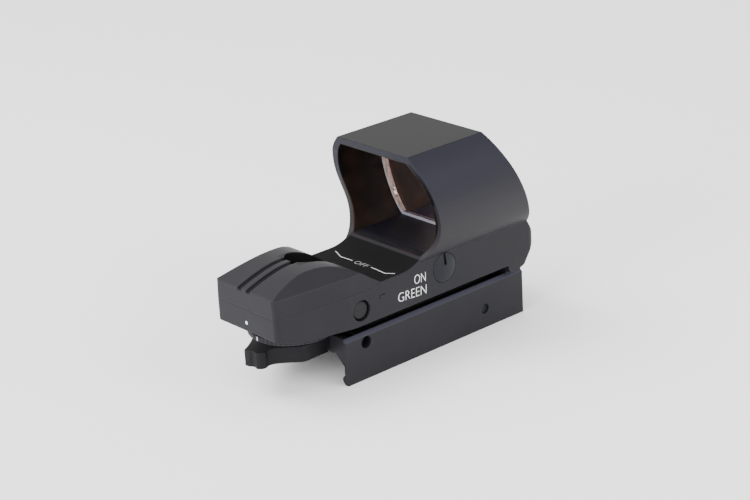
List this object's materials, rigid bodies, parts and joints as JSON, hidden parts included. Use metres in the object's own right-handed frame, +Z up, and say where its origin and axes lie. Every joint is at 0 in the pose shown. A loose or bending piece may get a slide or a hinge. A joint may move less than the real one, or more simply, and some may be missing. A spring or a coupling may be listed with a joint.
{
  "type": "reflex sight",
  "caption": "Open reflex sight with a hooded window, an emitter housing, two side buttons and a quick-release rail clamp.",
  "frame": {"origin": "centre of the rail seat under the mount", "axes": "+X right, +Y towards the muzzle, +Z up"},
  "size_m": [0.0381, 0.084, 0.0529],
  "materials": {
    "anodised": "satin black anodised",
    "bare_alloy": "machined",
    "steel": "bright",
    "steel_black": "black oxide, satin",
    "brass": "machined",
    "rubber": "matt",
    "bond": "pale, slightly translucent",
    "plastic": "matt",
    "board": "lacquered",
    "lamp": "clear tinted",
    "glass": "polished"
  },
  "bodies": {
    "sight": {"housing": "anodised", "emitter_cover": "anodised", "window_glass": "glass", "window_seal": "bond", "lamp_window": "glass", "windage_spring": "steel", "elevation_spring": "steel", "circuit_board": "board", "push_switches": "plastic", "coin_cell": "steel", "cell_contact": "brass", "mount_base": "anodised", "draw_bolt": "steel_black", "recoil_pin": "steel_black", "guide_pin": "steel", "jaw_spring": "steel", "base_screws": "steel_black", "cover_screws": "steel_black"},
    "yoke": {"pivot_yoke": "bare_alloy", "pitch_pin": "steel"},
    "arm": {"emitter_arm": "bare_alloy", "led_lamp": "lamp", "led_ribbon": "board"},
    "windage": {"windage_screw": "steel_black", "windage_clip": "steel"},
    "windage_slider": {"windage_nut": "brass"},
    "elevation": {"elevation_screw": "steel_black", "elevation_clip": "steel"},
    "elevation_slider": {"elevation_nut": "brass"},
    "button_right": {"green_button": "rubber"},
    "button_left": {"red_button": "rubber"},
    "cap": {"battery_cap": "anodised", "cap_ring": "rubber"},
    "jaw": {"movable_jaw": "anodised"},
    "lever": {"qd_lever": "anodised", "lever_pin": "steel"}
  },
  "joints": [
    {"name": "lever_swing", "type": "hinge", "parent": "sight", "child": "lever", "pos_m": [-0.0161, -0.0238, 0.00215], "axis": [0, 0, -1], "range_deg": [0, 100]},
    {"name": "jaw_slide", "type": "slide", "parent": "sight", "child": "jaw", "axis": [-1, 0, 0], "range_m": [0, 0.0017]},
    {"name": "cap_turn", "type": "hinge", "parent": "sight", "child": "cap", "pos_m": [0, -0.0367, 0.0075], "axis": [0, 0, -1], "range_deg": [0, 60]},
    {"name": "windage_turn", "type": "hinge", "parent": "sight", "child": "windage", "pos_m": [0.0132, 0.0018, 0.014], "axis": [1, 0, 0], "range_deg": [-190, 190]},
    {"name": "windage_travel", "type": "slide", "parent": "sight", "child": "windage_slider", "axis": [-1, 0, 0], "range_m": [-0.000175, 0.000175]},
    {"name": "arm_yaw", "type": "hinge", "parent": "sight", "child": "yoke", "pos_m": [0, -0.015, 0.0135], "axis": [0, 0, 1], "range_deg": [-0.7, 0.7]},
    {"name": "elevation_turn", "type": "hinge", "parent": "sight", "child": "elevation", "pos_m": [0, 0.019, 0.0192], "axis": [0, 0, 1], "range_deg": [-380, 380]},
    {"name": "elevation_travel", "type": "slide", "parent": "sight", "child": "elevation_slider", "axis": [0, 0, -1], "range_m": [-0.00034, 0.00034]},
    {"name": "arm_pitch", "type": "hinge", "parent": "yoke", "child": "arm", "pos_m": [0, -0.015, 0.0135], "axis": [-1, 0, 0], "range_deg": [-0.7, 0.7], "deforming": ["elevation_spring"]},
    {"name": "green_press", "type": "slide", "parent": "sight", "child": "button_right", "axis": [-1, 0, 0], "range_m": [0, 0.0007], "stiffness_N_per_m": 600, "springref_m": -0.0002},
    {"name": "red_press", "type": "slide", "parent": "sight", "child": "button_left", "axis": [1, 0, 0], "range_m": [0, 0.0007], "stiffness_N_per_m": 600, "springref_m": -0.0002}
  ],
  "couplings": [
    {"joint": "jaw_slide", "follows": "lever_swing", "m_per_rad": 0.00091673},
    {"joint": "windage_turn", "follows": "windage_travel", "rad_per_m": 17952},
    {"joint": "arm_yaw", "follows": "windage_travel", "rad_per_m": 59.524},
    {"joint": "elevation_turn", "follows": "elevation_travel", "rad_per_m": 18480},
    {"joint": "arm_pitch", "follows": "elevation_travel", "rad_per_m": 29.412}
  ]
}
